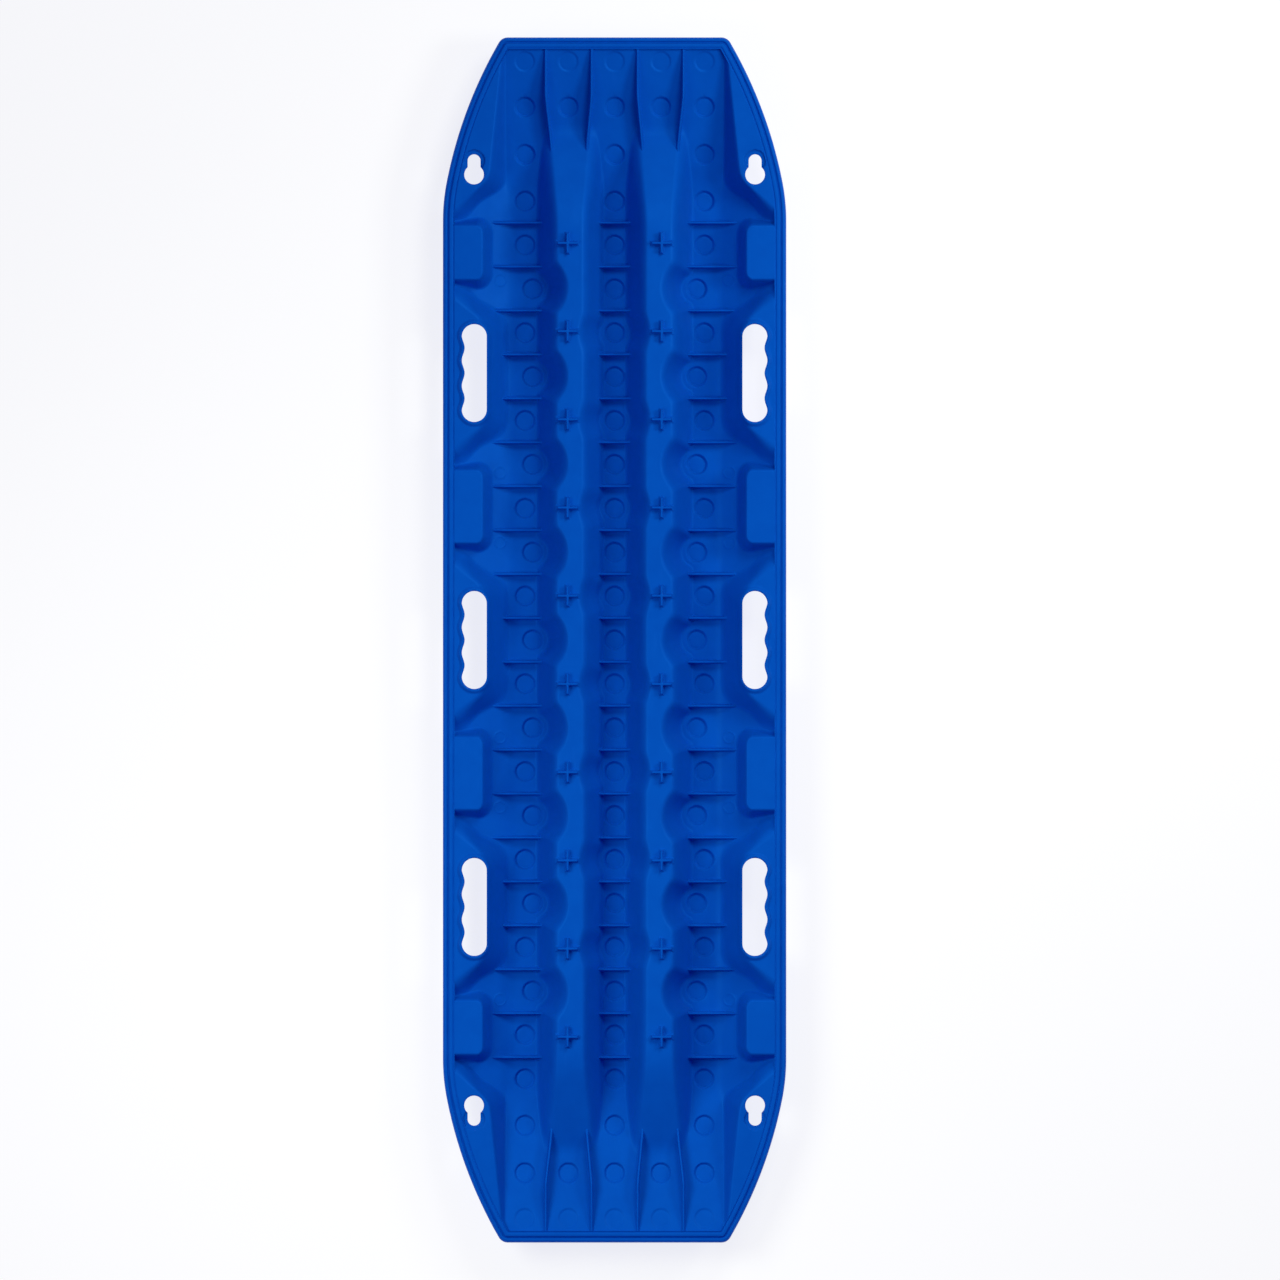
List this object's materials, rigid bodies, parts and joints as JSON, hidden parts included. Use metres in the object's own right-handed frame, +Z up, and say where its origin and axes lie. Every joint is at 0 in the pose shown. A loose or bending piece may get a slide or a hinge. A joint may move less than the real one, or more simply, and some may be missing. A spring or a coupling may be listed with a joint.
{
  "type": "tyre traction board",
  "caption": "Rigid moulded recovery board for a stuck wheel: studded tyre side, ribbed ground side, tapered ramp ends, hand holes along both edges and a keyhole near each corner.",
  "frame": {"origin": "on the floor, under the middle of the board, in the plane of the stud tips", "axes": "+Y along the board towards its front ramp, +X across it to the right, +Z up out of the ribbed ground side; the board lies on its studs, upside down from its use under a wheel"},
  "size_m": [0.304, 1.067, 0.06],
  "materials": {
    "board_plastic": "satin blue moulded polypropylene or nylon, evenly coloured, with a fine mould grain and softly rounded edges"
  },
  "bodies": {
    "root": {"centre_channel": "board_plastic", "cleats_left": "board_plastic", "cleats_right": "board_plastic", "cross_ribs_centre": "board_plastic", "cross_ribs_left": "board_plastic", "cross_ribs_right": "board_plastic", "handle_left_front": "board_plastic", "handle_left_middle": "board_plastic", "handle_left_rear": "board_plastic", "handle_right_front": "board_plastic", "handle_right_middle": "board_plastic", "handle_right_rear": "board_plastic", "keyhole_plate_left_front": "board_plastic", "keyhole_plate_left_rear": "board_plastic", "keyhole_plate_right_front": "board_plastic", "keyhole_plate_right_rear": "board_plastic", "large_pad_left_front": "board_plastic", "large_pad_left_rear": "board_plastic", "large_pad_right_front": "board_plastic", "large_pad_right_rear": "board_plastic", "ramp_fins_front": "board_plastic", "ramp_fins_rear": "board_plastic", "ramp_front": "board_plastic", "ramp_rear": "board_plastic", "ramp_studs_front": "board_plastic", "ramp_studs_rear": "board_plastic", "ridge_left": "board_plastic", "ridge_right": "board_plastic", "rim_front": "board_plastic", "rim_left": "board_plastic", "rim_rear": "board_plastic", "rim_right": "board_plastic", "side_channel_left": "board_plastic", "side_channel_right": "board_plastic", "small_pad_left_front": "board_plastic", "small_pad_left_rear": "board_plastic", "small_pad_right_front": "board_plastic", "small_pad_right_rear": "board_plastic", "studs_centre": "board_plastic", "studs_left": "board_plastic", "studs_right": "board_plastic"}
  },
  "joints": []
}
